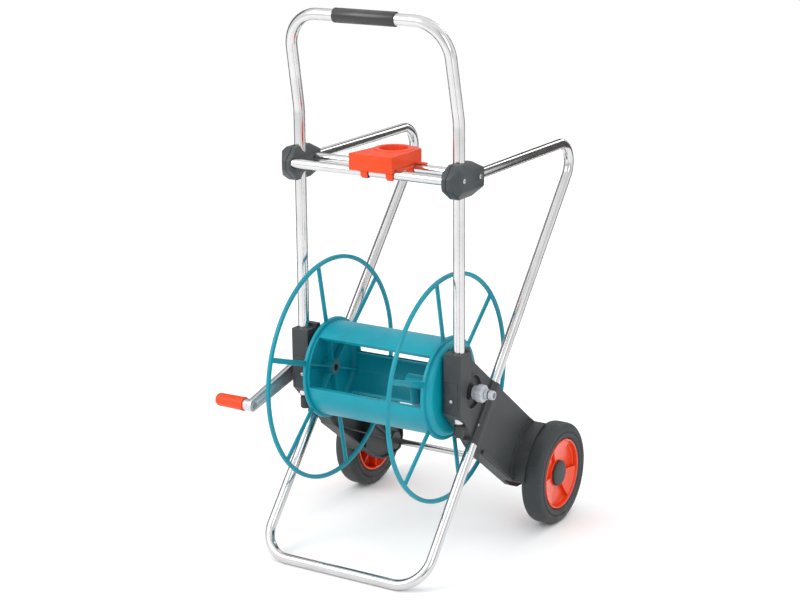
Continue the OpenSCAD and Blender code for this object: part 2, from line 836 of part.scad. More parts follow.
module crank_pin() {
    color("silver") placed() on_crank() translate([crank_len, 0, 0]) {
        translate([0, 0, crank_in - 2]) cylinder(r = 6.5, h = 2);
        translate([0, 0, crank_in]) cylinder(r = pin_r - 0.01, h = crank_t + ferrule_len + grip_len - 8);
        translate([0, 0, grip_in + grip_len - 10]) cylinder(r = 6, h = 2.5);
    }
}

// Grip that turns on the crank pin, closed at its outer end
module crank_grip() {
    length = grip_end_x - grip_in;
    color([0.93, 0.3, 0.13]) placed() on_crank() translate([crank_len, 0, grip_in]) difference() {
        rotate_extrude() {
            polygon([[0, 0], [11.6, 0], [12.4, 0.8], [12.4, 3], [12, 8], [11.4, length - 4], [0, length - 4]]);
            intersection() {
                round_rect(-11.4, length - 12, 11.4, length, 4);
                square([12, length]);
            }
        }
        translate([0, 0, -1]) cylinder(r = pin_r + run_gap, h = grip_len - 8);
        translate([0, 0, grip_len - 10.4]) cylinder(r = 6.4, h = 4.5);
    }
}

// ---------- wheels ----------

// Puts local Z = 0 at the middle of the right wheel, pointing outwards
module on_wheel() {
    translate([wheel_x, 0, 0]) on_axle() children();
}

module tyre() {
    half = tyre_w / 2;
    color([0.2, 0.22, 0.23]) on_wheel() rotate_extrude($fn = 120) difference() {
        round_rect(rim_r, -half, wheel_r, half, 8);
        translate([rim_r - 1, -half + 6]) square([4, tyre_w - 12]);
        for (s = [-1, 1]) translate([77, s * half]) circle(r = 1.6);
    }
}

// Dished rim with a raised bead, eight shallow sectors and a hub that runs on the axle
module rim() {
    half = tyre_w / 2;
    color([0.93, 0.26, 0.13]) on_wheel() difference() {
        union() {
            rotate_extrude($fn = 120) {
                translate([rim_r - 4, -half + 6.2]) square([6.8, tyre_w - 12.4]);
                translate([rim_r - 4, -half + 1]) square([3.9, tyre_w - 2.4]);
                polygon([[13, -2], [rim_r - 2, half - 11], [rim_r - 2, half - 6.5], [13, 3.5]]);
            }
            translate([0, 0, -half + 0.2]) cylinder(r = 14, h = 25.8);
            for (a = [0 : 45 : 359]) rotate(a)
                translate([13, -1.3, -half + 4]) cube([rim_r - 16, 2.6, half - 3]);
            ring(26, 20, 0, 9);
        }
        translate([0, 0, -half - 1]) cylinder(r = axle_r + run_gap, h = tyre_w + 2);
    }
}

// Cover over the axle end, clipped into the rim
module hub_cap() {
    color([0.22, 0.24, 0.25]) on_wheel() difference() {
        rotate_extrude() polygon([[0, 9.2], [23.5, 9.2], [23.5, 13], [21.5, 15], [8, 16.6], [0, 16.8]]);
        translate([0, 0, 8]) cylinder(r = 11.5, h = 5.5);
    }
}

module tyre_right() {
    placed() tyre();
}

module tyre_left() {
    placed() left() tyre();
}

module rim_right() {
    placed() rim();
}

module rim_left() {
    placed() left() rim();
}

module hub_cap_right() {
    placed() hub_cap();
}

module hub_cap_left() {
    placed() left() hub_cap();
}

// ---------- tray ----------

cup_x = 17;
cup_y = 24;
tray_low = 686;

// Plan outline of the tray, moved inwards by inset
module tray_plan(inset) {
    polygon([[-28 + inset, -46 + inset], [56 - inset, -46 + inset], [58 - inset, 46 - inset * 0.4],
        [45 - inset * 0.4, 57 - inset], [18, 60 - inset], [-19 + inset, 20]]);
    translate([cup_x, cup_y]) circle(r = 36 - inset);
}

// Clip that hooks round a crossbar from above
module bar_clip(x_from, length, y) {
    difference() {
        union() {
            translate([x_from, y, bar_z]) x_rod(bar_r + 3.2, 0, length);
            translate([x_from, y - bar_r - 3.2, bar_z]) cube([length, 2 * bar_r + 6.4, tray_z - 2 - bar_z]);
        }
        translate([x_from - 1, y, bar_z]) x_rod(bar_r + fit_gap, 0, length + 2);
        translate([x_from - 1, y - 5.5, bar_z - 20]) cube([length + 2, 11, 20]);
    }
}

module tray() {
    color([0.93, 0.3, 0.12]) placed() difference() {
        union() {
            difference() {
                translate([0, 0, tray_low]) linear_extrude(tray_z - tray_low) tray_plan(0);
                translate([0, 0, tray_low - 1]) linear_extrude(tray_z - tray_low - 2) tray_plan(wall);
            }
            translate([cup_x, cup_y, tray_z - 1]) cylinder(r = 34, h = 2.5);
            translate([cup_x, cup_y, 692.4]) cylinder(r = cup_r + 2.4, h = tray_z - 693.4);
            bar_clip(-6, 13, bar_front_y);
            bar_clip(43, 13, bar_front_y);
            bar_clip(43, 13, bar_rear_y);
            translate([56, bar_rear_y - 3, tray_low + 5.6]) cube([22, 6, 3]);
        }
        translate([cup_x, cup_y, 695]) cylinder(r = cup_r, h = 40);
        for (y = [bar_front_y, bar_rear_y]) translate([0, y, bar_z]) {
            x_rod(bar_r + fit_gap, -60, 90);
            translate([-60, -bar_r - fit_gap, -8]) cube([54, 2 * bar_r + 2 * fit_gap, 8]);
        }
    }
}

handle_tube();
handle_sleeve();
post_end_caps();
support_tube();
crossbar_front();
crossbar_rear();
clamp_left_inner();
clamp_left_outer();
clamp_right_inner();
clamp_right_outer();
clamp_bolts();
side_plate_left();
side_plate_right();
post_cover_left();
post_cover_right();
tube_clip_left();
tube_clip_right();
housing_screws();
drive_bush();
water_spigot();
spigot_seals();
inlet_collar();
inlet_nipple();
inlet_seal();
wheel_axle();
wheel_spacers();
axle_retainers();
drum_shell();
flange_left();
flange_right();
spigot_bush();
swivel_elbow();
hose_nipple();
elbow_screws();
drive_shaft();
shaft_washer();
crank_arm();
crank_screw();
crank_ferrule();
crank_pin();
crank_grip();
tyre_left();
rim_left();
hub_cap_left();
tyre_right();
rim_right();
hub_cap_right();
tray();
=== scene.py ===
"""Garden hose reel cart: finishes, smooth tubes, wheels, hoops and soft-edged mouldings round the frame."""
import json
import math

import bpy
from mathutils import Matrix, Vector


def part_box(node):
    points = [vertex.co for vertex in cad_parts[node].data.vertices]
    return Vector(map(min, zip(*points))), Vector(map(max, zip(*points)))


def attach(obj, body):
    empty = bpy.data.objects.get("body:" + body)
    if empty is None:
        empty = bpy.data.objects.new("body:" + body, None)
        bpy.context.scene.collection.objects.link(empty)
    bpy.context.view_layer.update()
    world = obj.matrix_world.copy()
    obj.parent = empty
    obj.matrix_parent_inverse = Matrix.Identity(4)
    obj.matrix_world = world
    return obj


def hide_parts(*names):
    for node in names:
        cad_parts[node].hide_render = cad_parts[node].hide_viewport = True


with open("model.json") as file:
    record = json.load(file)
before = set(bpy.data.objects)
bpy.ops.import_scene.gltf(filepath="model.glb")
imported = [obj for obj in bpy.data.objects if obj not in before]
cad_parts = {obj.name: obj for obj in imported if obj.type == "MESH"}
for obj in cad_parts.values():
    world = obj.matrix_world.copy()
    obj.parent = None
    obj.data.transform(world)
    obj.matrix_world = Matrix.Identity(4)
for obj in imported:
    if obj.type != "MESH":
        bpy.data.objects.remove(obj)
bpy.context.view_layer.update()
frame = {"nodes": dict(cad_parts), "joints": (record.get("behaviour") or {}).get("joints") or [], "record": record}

# ---------- places taken from the frame, in metres ----------

JOINTS = {joint["name"]: Vector(joint["pos_m"]) for joint in frame["joints"] if "pos_m" in joint}
ACROSS = Vector((1, 0, 0))
UP = Vector((0, 0, 1))


def middle(node):
    low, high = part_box(node)
    return (low + high) / 2


def size(node):
    low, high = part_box(node)
    return high - low


MID_X = middle("handle_tube").x
UPRIGHT_Y = middle("post_end_caps").y
DRUM = JOINTS["drum_spin"]
MM = 0.001
WELD = 0.00001
TUBE_WALL = 0.0012
POST_X = 0.156


def at(x, y, z):
    """Place given from the cart's middle plane, the uprights and the ground."""
    return Vector((MID_X + x, UPRIGHT_Y + y, z))


def metres(outline):
    """Outline of (radius, distance along the axis) points, from millimetres."""
    return [(radius * MM, along * MM) for radius, along in outline]


# ---------- modelling helpers ----------

def fresh():
    """Nothing selected, so that the next operator acts on the new piece alone."""
    bpy.ops.object.select_all(action="DESELECT")


def only(piece):
    """The piece alone is selected and active."""
    fresh()
    piece.select_set(True)
    bpy.context.view_layer.objects.active = piece


def finished(piece, body, slot, *nodes):
    """Parents a piece to the empty of the body that it rides on, gives it its finish and hides the nodes that it
    stands for.
    """
    only(piece)
    bpy.ops.object.transform_apply(location=True, rotation=True, scale=True)
    piece.data.materials.clear()
    piece.data.materials.append(FINISHES[slot])
    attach(piece, body)
    if nodes:
        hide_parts(*nodes)
    return piece


def edit(piece):
    bpy.context.view_layer.objects.active = piece
    bpy.ops.object.mode_set(mode="EDIT")


def leave():
    bpy.ops.object.mode_set(mode="OBJECT")


def pick(piece, test):
    """Selects the points that pass the test, and enters edit mode."""
    edit(piece)
    bpy.ops.mesh.select_mode(type="VERT")
    bpy.ops.mesh.select_all(action="DESELECT")
    leave()
    for point in piece.data.vertices:
        point.select = test(point.co)
    edit(piece)


def tidy_mesh(piece, gap=WELD):
    """Merges doubles and turns every face outwards."""
    edit(piece)
    bpy.ops.mesh.select_all(action="SELECT")
    bpy.ops.mesh.remove_doubles(threshold=gap)
    bpy.ops.mesh.normals_make_consistent(inside=False)
    leave()


def add_modifier(piece, name, kind, **settings):
    modifier = piece.modifiers.new(name, kind)
    for key, value in settings.items():
        setattr(modifier, key, value)
    bpy.context.view_layer.objects.active = piece
    bpy.ops.object.modifier_apply(modifier=modifier.name)


def round_edges(piece, width, segments=2, angle=30, clamp=True):
    add_modifier(piece, "round edges", "BEVEL", width=width, segments=segments, limit_method="ANGLE",
                 angle_limit=math.radians(angle), use_clamp_overlap=clamp, harden_normals=False)


def smooth(piece, angle):
    only(piece)
    bpy.ops.object.shade_smooth_by_angle(angle=math.radians(angle))


def joined(name, pieces):
    fresh()
    for piece in pieces:
        piece.select_set(True)
    bpy.context.view_layer.objects.active = pieces[0]
    bpy.ops.object.join()
    pieces[0].name = name
    return pieces[0]


def copy_of(piece, name, turn):
    """Copy with its own mesh, moved by a matrix that is written into the mesh."""
    twin = piece.copy()
    twin.data = piece.data.copy()
    twin.name = name
    bpy.context.scene.collection.objects.link(twin)
    twin.data.transform(turn)
    if turn.determinant() < 0:
        twin.data.flip_normals()
    return twin


def turned(angle, centre, axis=ACROSS):
    """Matrix that turns round an axis through a point."""
    return Matrix.Translation(centre) @ Matrix.Rotation(angle, 4, axis) @ Matrix.Translation(-centre)


def mirrored():
    """Matrix that mirrors in the cart's middle plane."""
    return Matrix.Translation((2 * MID_X, 0, 0)) @ Matrix.Diagonal((-1, 1, 1, 1))


def extrude(step):
    bpy.ops.mesh.extrude_region_move(TRANSFORM_OT_translate={"value": tuple(step)})


def spin(centre, axis, angle, steps):
    """Bends the selected ring or outline round an axis, anticlockwise for a positive angle."""
    bpy.ops.mesh.spin(steps=steps, angle=-angle, center=tuple(centre), axis=tuple(axis))


def ring_of_points(name, place, heading, radius, sides):
    fresh()
    turn = heading.to_track_quat("Z", "Y").to_euler()
    bpy.ops.mesh.primitive_circle_add(vertices=sides, radius=radius, location=place, rotation=turn)
    piece = bpy.context.object
    piece.name = name
    bpy.ops.object.transform_apply(location=True, rotation=True)
    edit(piece)
    bpy.ops.mesh.select_all(action="SELECT")
    return piece


def hollow(piece, wall):
    """Closes a swept skin into a thin-walled tube."""
    tidy_mesh(piece)
    add_modifier(piece, "wall", "SOLIDIFY", thickness=wall, offset=-1, use_even_offset=True)
    smooth(piece, 40)


def profile(name, places, closed):
    """Chain of edges through the places, left in edit mode with all of it selected."""
    fresh()
    bpy.ops.mesh.primitive_plane_add(size=0.001, location=places[0])
    piece = bpy.context.object
    piece.name = name
    bpy.ops.object.transform_apply(location=True)
    edit(piece)
    bpy.ops.mesh.select_all(action="SELECT")
    bpy.ops.mesh.merge(type="CENTER")
    for here, there in zip(places, places[1:]):
        extrude(there - here)
    if closed:
        leave()
        first, last = places[0], places[-1]
        pick(piece, lambda point: min((point - first).length, (point - last).length) < WELD)
        bpy.ops.mesh.edge_face_add()
    bpy.ops.mesh.select_all(action="SELECT")
    return piece


def lathe(name, start, outline, steps=96, axis=ACROSS, closed=True):
    """Turns an outline of (radius, distance along the axis) points into a round piece."""
    side = UP if abs(axis.dot(UP)) < 0.9 else ACROSS
    places = [start + axis * along + side * radius for radius, along in outline]
    piece = profile(name, places, closed)
    spin(start, axis, 2 * math.pi, steps)
    leave()
    tidy_mesh(piece)
    smooth(piece, 32)
    return piece


def softened(node, body, slot, width):
    """Copy of a node with its doubles merged and its sharp edges rounded."""
    source = frame["nodes"][node]
    piece = source.copy()
    piece.data = source.data.copy()
    piece.name = node + "_moulded"
    piece.parent = None
    for key in list(piece.keys()):
        if key.startswith("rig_"):
            del piece[key]
    bpy.context.scene.collection.objects.link(piece)
    only(piece)
    edit(piece)
    bpy.ops.mesh.customdata_custom_splitnormals_clear()
    bpy.ops.mesh.select_all(action="SELECT")
    bpy.ops.mesh.remove_doubles(threshold=0.000005)
    bpy.ops.mesh.dissolve_limited(angle_limit=math.radians(0.6))
    leave()
    round_edges(piece, width, clamp=False)
    tidy_mesh(piece, 0.000002)
    smooth(piece, 34)
    return finished(piece, body, slot, node)


# ---------- shared effects ----------

def group(name, inputs, outputs):
    """Empty node group with named sockets."""
    made = bpy.data.node_groups.new(name, "ShaderNodeTree")
    for label, kind, default in inputs:
        socket = made.interface.new_socket(name=label, in_out="INPUT", socket_type=kind)
        socket.default_value = default
    for label, kind in outputs:
        made.interface.new_socket(name=label, in_out="OUTPUT", socket_type=kind)
    return made, made.nodes.new("NodeGroupInput"), made.nodes.new("NodeGroupOutput")


def noise(tree, vector, scale, detail=3.0, roughness=0.55):
    node = tree.nodes.new("ShaderNodeTexNoise")
    if isinstance(scale, (int, float)):
        node.inputs["Scale"].default_value = scale
    else:
        tree.links.new(scale, node.inputs["Scale"])
    node.inputs["Detail"].default_value = detail
    node.inputs["Roughness"].default_value = roughness
    tree.links.new(vector, node.inputs["Vector"])
    return node.outputs["Fac"]


def math_node(tree, operation, a, b=None, clamp=False):
    node = tree.nodes.new("ShaderNodeMath")
    node.operation = operation
    node.use_clamp = clamp
    for socket, value in zip(node.inputs, (a, b)):
        if value is None:
            continue
        if isinstance(value, (int, float)):
            socket.default_value = value
        else:
            tree.links.new(value, socket)
    return node.outputs[0]


def ramp(tree, value, low, high, out_low=0.0, out_high=1.0):
    node = tree.nodes.new("ShaderNodeMapRange")
    tree.links.new(value, node.inputs["Value"])
    node.inputs["From Min"].default_value = low
    node.inputs["From Max"].default_value = high
    node.inputs["To Min"].default_value = out_low
    node.inputs["To Max"].default_value = out_high
    return node.outputs["Result"]


def masked(tree, a, b, amount):
    """Product of two masks and an amount, held between 0 and 1."""
    return math_node(tree, "MULTIPLY", math_node(tree, "MULTIPLY", a, b), amount, True)


def mix(tree, factor, a, b):
    node = tree.nodes.new("ShaderNodeMix")
    node.data_type = "RGBA"
    for socket, value in ((node.inputs["Factor"], factor), (node.inputs[6], a), (node.inputs[7], b)):
        if isinstance(value, (int, float, tuple)):
            socket.default_value = value
        else:
            tree.links.new(value, socket)
    return node.outputs[2]


def make_grain():
    """Fine moulded texture: a height for bump and slow blotches for the colour."""
    tree, given, out = group("moulded grain",
                             [("Vector", "NodeSocketVector", (0, 0, 0)), ("Scale", "NodeSocketFloat", 900.0)],
                             [("Height", "NodeSocketFloat"), ("Blotch", "NodeSocketFloat")])
    fine = noise(tree, given.outputs["Vector"], given.outputs["Scale"], 2.0)
    slow = noise(tree, given.outputs["Vector"], 14.0, 4.0)
    tree.links.new(fine, out.inputs["Height"])
    tree.links.new(slow, out.inputs["Blotch"])
    return tree


def make_scuffs():
    """Sparse thin scratches in changing directions."""
    tree, given, out = group("scuffs",
                             [("Vector", "NodeSocketVector", (0, 0, 0)), ("Amount", "NodeSocketFloat", 0.5)],
                             [("Mask", "NodeSocketFloat")])
    masks = []
    for turn, scale in ((0.5, 38.0), (2.1, 52.0), (1.2, 30.0)):
        mapping = tree.nodes.new("ShaderNodeMapping")
        mapping.inputs["Rotation"].default_value = (turn, turn * 1.7, turn * 0.6)
        mapping.inputs["Scale"].default_value = (1.0, 14.0, 14.0)
        tree.links.new(given.outputs["Vector"], mapping.inputs["Vector"])
        lines = noise(tree, mapping.outputs["Vector"], scale, 1.0)
        masks.append(ramp(tree, lines, 0.70, 0.76))
    total = math_node(tree, "MAXIMUM", math_node(tree, "MAXIMUM", masks[0], masks[1]), masks[2])
    patches = ramp(tree, noise(tree, given.outputs["Vector"], 9.0), 0.45, 0.65)
    mask = masked(tree, total, patches, given.outputs["Amount"])
    tree.links.new(mask, out.inputs["Mask"])
    return tree


def make_dust():
    """Thin dust that settles on faces which look up."""
    tree, given, out = group("dust",
                             [("Vector", "NodeSocketVector", (0, 0, 0)),
                              ("Normal", "NodeSocketVector", (0, 0, 1)),
                              ("Amount", "NodeSocketFloat", 0.2)],
                             [("Mask", "NodeSocketFloat")])
    split = tree.nodes.new("ShaderNodeSeparateXYZ")
    tree.links.new(given.outputs["Normal"], split.inputs[0])
    facing = ramp(tree, split.outputs["Z"], 0.2, 1.0)
    cloud = ramp(tree, noise(tree, given.outputs["Vector"], 32.0, 5.0), 0.35, 0.75)
    mask = masked(tree, facing, cloud, given.outputs["Amount"])
    tree.links.new(mask, out.inputs["Mask"])
    return tree


def make_edge_wear():
    """Light rubbing along convex edges, broken up by noise."""
    tree, given, out = group("edge wear",
                             [("Vector", "NodeSocketVector", (0, 0, 0)), ("Amount", "NodeSocketFloat", 0.5)],
                             [("Mask", "NodeSocketFloat")])
    bevel = tree.nodes.new("ShaderNodeBevel")
    bevel.samples = 4
    bevel.inputs["Radius"].default_value = 0.0012
    geometry = tree.nodes.new("ShaderNodeNewGeometry")
    dot = tree.nodes.new("ShaderNodeVectorMath")
    dot.operation = "DOT_PRODUCT"
    tree.links.new(bevel.outputs["Normal"], dot.inputs[0])
    tree.links.new(geometry.outputs["Normal"], dot.inputs[1])
    edge = ramp(tree, dot.outputs["Value"], 0.995, 0.90)
    broken = ramp(tree, noise(tree, given.outputs["Vector"], 60.0, 4.0), 0.42, 0.6)
    mask = masked(tree, edge, broken, given.outputs["Amount"])
    tree.links.new(mask, out.inputs["Mask"])
    return tree


GRAIN = make_grain()
SCUFFS = make_scuffs()
DUST = make_dust()
EDGE_WEAR = make_edge_wear()


# ---------- finishes ----------

class Finish:
    """One material with its object coordinates and its shader at hand."""

    def __init__(self, name):
        self.material = bpy.data.materials.new(name)
        self.material.use_nodes = True
        self.tree = self.material.node_tree
        self.shader = self.tree.nodes["Principled BSDF"]
        place = self.tree.nodes.new("ShaderNodeTexCoord")
        self.place = place.outputs["Object"]
        self.normal = place.outputs["Normal"]

    def use(self, effect, **values):
        node = self.tree.nodes.new("ShaderNodeGroup")
        node.node_tree = effect
        self.tree.links.new(self.place, node.inputs["Vector"])
        if "Normal" in node.inputs:
            self.tree.links.new(self.normal, node.inputs["Normal"])
        for key, value in values.items():
            node.inputs[key].default_value = value
        return node.outputs

    def feed(self, socket, value):
        self.tree.links.new(value, self.shader.inputs[socket])

    def bump(self, height, strength, distance):
        node = self.tree.nodes.new("ShaderNodeBump")
        node.inputs["Strength"].default_value = strength
        node.inputs["Distance"].default_value = distance
        self.tree.links.new(height, node.inputs["Height"])
        self.tree.links.new(node.outputs["Normal"], self.shader.inputs["Normal"])


def rgb(red, green, blue):
    return (red, green, blue, 1.0)


def plastic(name, colour, deep, worn, roughness, grain_scale, grain,
            scuff=0.25, dust=0.12, coat=0.0, wear=0.35, shine=0.5):
    """Moulded plastic: blotched colour, grain, scuffs, rubbed edges and a little dust."""
    finish = Finish(name)
    tree = finish.tree
    moulded = finish.use(GRAIN, Scale=grain_scale)
    scuffed = finish.use(SCUFFS, Amount=scuff)["Mask"]
    dusty = finish.use(DUST, Amount=dust)["Mask"]
    rubbed = finish.use(EDGE_WEAR, Amount=wear)["Mask"]
    base = mix(tree, ramp(tree, moulded["Blotch"], 0.35, 0.65), deep, colour)
    base = mix(tree, rubbed, base, worn)
    base = mix(tree, scuffed, base, worn)
    base = mix(tree, dusty, base, rgb(0.42, 0.40, 0.37))
    finish.feed("Base Color", base)
    rough = ramp(tree, moulded["Blotch"], 0.3, 0.7, roughness - 0.05, roughness + 0.06)
    rough = math_node(tree, "ADD", rough, math_node(tree, "MULTIPLY", dusty, 0.4))
    rough = math_node(tree, "ADD", rough, math_node(tree, "MULTIPLY", scuffed, 0.15), True)
    finish.feed("Roughness", rough)
    finish.bump(moulded["Height"], grain, 0.0002)
    finish.shader.inputs["Coat Weight"].default_value = coat
    finish.shader.inputs["Specular IOR Level"].default_value = shine
    finish.shader.inputs["Coat Roughness"].default_value = 0.12
    return finish.material


def metal(name, colour, tint, roughness, streak, scuff=0.3, dust=0.06, stretch=(1, 1, 1)):
    """Bare or plated metal: fine drawn streaks, haze patches and a little dust."""
    finish = Finish(name)
    tree = finish.tree
    mapping = tree.nodes.new("ShaderNodeMapping")
    mapping.inputs["Scale"].default_value = stretch
    tree.links.new(finish.place, mapping.inputs["Vector"])
    lines = noise(tree, mapping.outputs["Vector"], 420.0, 2.0)
    haze = noise(tree, finish.place, 22.0, 4.0)
    scuffed = finish.use(SCUFFS, Amount=scuff)["Mask"]
    dusty = finish.use(DUST, Amount=dust)["Mask"]
    base = mix(tree, ramp(tree, haze, 0.35, 0.7), colour, tint)
    base = mix(tree, dusty, base, rgb(0.5, 0.49, 0.47))
    finish.feed("Base Color", base)
    finish.feed("Metallic", ramp(tree, dusty, 0.0, 1.0, 1.0, 0.3))
    rough = math_node(tree, "ADD", ramp(tree, haze, 0.3, 0.75, roughness, roughness + 0.07),
                      math_node(tree, "MULTIPLY", scuffed, 0.22))
    rough = math_node(tree, "ADD", rough, math_node(tree, "MULTIPLY", dusty, 0.35), True)
    finish.feed("Roughness", rough)
    finish.bump(lines, streak, 0.00006)
    return finish.material


def rubber(name, colour, worn, roughness):
    """Tyre and seal rubber: matt, slightly mottled, dusty towards the ground."""
    finish = Finish(name)
    tree = finish.tree
    moulded = finish.use(GRAIN, Scale=700.0)
    scuffed = finish.use(SCUFFS, Amount=0.35)["Mask"]
    dusty = finish.use(DUST, Amount=0.18)["Mask"]
    split = tree.nodes.new("ShaderNodeSeparateXYZ")
    tree.links.new(finish.place, split.inputs[0])
    soil = ramp(tree, split.outputs["Z"], 0.05, 0.0)
    patchy = ramp(tree, noise(tree, finish.place, 70.0, 5.0), 0.4, 0.7, 0.0, 0.35)
    soil = math_node(tree, "MULTIPLY", soil, patchy)
    base = mix(tree, ramp(tree, moulded["Blotch"], 0.35, 0.7), colour, worn)
    base = mix(tree, math_node(tree, "MAXIMUM", scuffed, dusty), base, rgb(0.16, 0.155, 0.15))
    base = mix(tree, soil, base, rgb(0.2, 0.17, 0.14))
    finish.feed("Base Color", base)
    finish.feed("Roughness", ramp(tree, moulded["Blotch"], 0.3, 0.7, roughness - 0.06, roughness + 0.08))
    finish.bump(moulded["Height"], 0.25, 0.0003)
    return finish.material


def make_finishes():
    dark_worn = rgb(0.15, 0.155, 0.16)
    return {
        "chrome_tube": metal("chromed tube", rgb(0.68, 0.675, 0.675), rgb(0.60, 0.595, 0.60), 0.12, 0.012,
                             stretch=(1, 1, 0.1)),
        "steel_screw": metal("zinc plated steel", rgb(0.62, 0.62, 0.60), rgb(0.48, 0.48, 0.47), 0.30, 0.2),
        "crank_alloy": metal("satin alloy", rgb(0.68, 0.69, 0.71), rgb(0.58, 0.59, 0.62), 0.36, 0.25,
                             stretch=(1, 0.15, 1)),
        "black_sleeve": plastic("satin black sleeve", rgb(0.018, 0.018, 0.02), rgb(0.012, 0.012, 0.014),
                                rgb(0.08, 0.08, 0.085), 0.33, 500.0, 0.12, coat=0.25),
        "black_plastic": plastic("black moulding", rgb(0.028, 0.030, 0.032), rgb(0.02, 0.021, 0.023),
                                 dark_worn, 0.45, 900.0, 0.25),
        "clamp_plastic": plastic("dark clamp moulding", rgb(0.038, 0.048, 0.052), rgb(0.030, 0.038, 0.042),
                                 rgb(0.17, 0.19, 0.2), 0.40, 800.0, 0.35, wear=0.5),
        "grey_plastic": plastic("textured grey moulding", rgb(0.044, 0.049, 0.052), rgb(0.034, 0.038, 0.041),
                                rgb(0.15, 0.16, 0.165), 0.48, 1100.0, 0.4, dust=0.06, wear=0.4, shine=0.35),
        "light_grey_plastic": plastic("light grey moulding", rgb(0.50, 0.52, 0.57), rgb(0.43, 0.455, 0.50),
                                      rgb(0.68, 0.69, 0.71), 0.30, 600.0, 0.08, coat=0.2, wear=0.3),
        "bearing_plastic": plastic("bearing plastic", rgb(0.75, 0.74, 0.68), rgb(0.68, 0.67, 0.62),
                                   rgb(0.8, 0.8, 0.76), 0.3, 600.0, 0.05),
        "teal_plastic": plastic("teal moulding", rgb(0.0, 0.30, 0.385), rgb(0.0, 0.26, 0.34),
                                rgb(0.04, 0.42, 0.50), 0.38, 500.0, 0.10,
                                scuff=0.3, dust=0.04, coat=0.04, shine=0.28),
        "teal_paint": plastic("teal hoop finish", rgb(0.0, 0.265, 0.345), rgb(0.0, 0.23, 0.30),
                              rgb(0.04, 0.39, 0.46), 0.38, 500.0, 0.08,
                              scuff=0.25, dust=0.04, coat=0.04, shine=0.28),
        "orange_plastic": plastic("orange moulding", rgb(0.80, 0.060, 0.006), rgb(0.70, 0.046, 0.005),
                                  rgb(0.86, 0.15, 0.05), 0.38, 600.0, 0.12,
                                  scuff=0.2, dust=0.03, coat=0.04, wear=0.3, shine=0.3),
        "orange_rim": plastic("glossy orange rim", rgb(0.84, 0.060, 0.008), rgb(0.76, 0.046, 0.006),
                              rgb(0.90, 0.18, 0.07), 0.24, 400.0, 0.04,
                              scuff=0.15, dust=0.04, coat=0.25, wear=0.2, shine=0.4),
        "tyre_rubber": rubber("solid tyre rubber", rgb(0.020, 0.026, 0.029), rgb(0.030, 0.036, 0.039), 0.60),
        "seal_rubber": rubber("seal rubber", rgb(0.012, 0.012, 0.012), rgb(0.02, 0.02, 0.02), 0.45),
    }


FINISHES = make_finishes()


def finish_every_node():
    """Every carried-over node gets the finish of its own slot."""
    for part in frame["record"]["subparts"]:
        mesh = frame["nodes"][part["node"]].data
        mesh.materials.clear()
        mesh.materials.append(FINISHES[part["material_slot"]])


finish_every_node()

# ---------- bent tubes ----------

HANDLE_KINK_Z = 0.772
HANDLE_REACH = 0.033
HANDLE_CORNER = 0.062
HANDLE_TAPER = math.radians(1.2)
KINK_BEND = 0.090
TUBE_PAST_BUMPER = 0.001


def handle():
    """Right half of the handle, from the upright's foot to the middle of the bar, and its mirror image."""
    radius = size("post_end_caps").y / 2 + TUBE_PAST_BUMPER
    top_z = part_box("handle_tube")[1].z - radius
    post = Vector((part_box("handle_tube")[1].x - radius, UPRIGHT_Y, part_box("handle_tube")[0].z))
    rise = top_z - HANDLE_KINK_Z
    lean = math.atan2(HANDLE_REACH, rise)
    up_along = Vector((0, -math.sin(lean), math.cos(lean)))
    taper_sin, taper_cos = math.sin(HANDLE_TAPER), math.cos(HANDLE_TAPER)
    run = (math.hypot(HANDLE_REACH, rise) - HANDLE_CORNER * (1 - taper_sin)) / taper_cos
    inward = Vector((-taper_sin, 0, 0)) + up_along * taper_cos
    kink = Vector((post.x, UPRIGHT_Y, HANDLE_KINK_Z))
    tangent = KINK_BEND * math.tan(lean / 2)
    corner_start = kink + inward * run
    centre = corner_start - HANDLE_CORNER * (Vector((taper_cos, 0, 0)) + taper_sin * up_along)
    piece = ring_of_points("handle_tube_smooth", post, UP, radius, 48)
    extrude(UP * (HANDLE_KINK_Z - tangent - post.z))
    spin(Vector((post.x, UPRIGHT_Y - KINK_BEND, HANDLE_KINK_Z - tangent)), ACROSS, lean, 8)
    extrude(corner_start - (kink + up_along * tangent))
    spin(centre, ACROSS.cross(up_along), math.pi / 2 - HANDLE_TAPER, 24)
    extrude(Vector((MID_X - centre.x, 0, 0)))
    leave()
    whole = joined("handle_tube_smooth", [piece, copy_of(piece, "half", mirrored())])
    hollow(whole, TUBE_WALL)
    return finished(whole, "frame", "chrome_tube", "handle_tube")


handle()


# ---------- support tube, crossbars, axle, sleeve and bumpers ----------

LEG_X = 0.162
LEG_R = 0.009
ARM_Z = 0.680
ARM_START_Y = 0.024
ARM_REACH = 0.430
FOOT_REACH = 0.138
ARM_BEND = 0.038
FOOT_BEND = 0.055


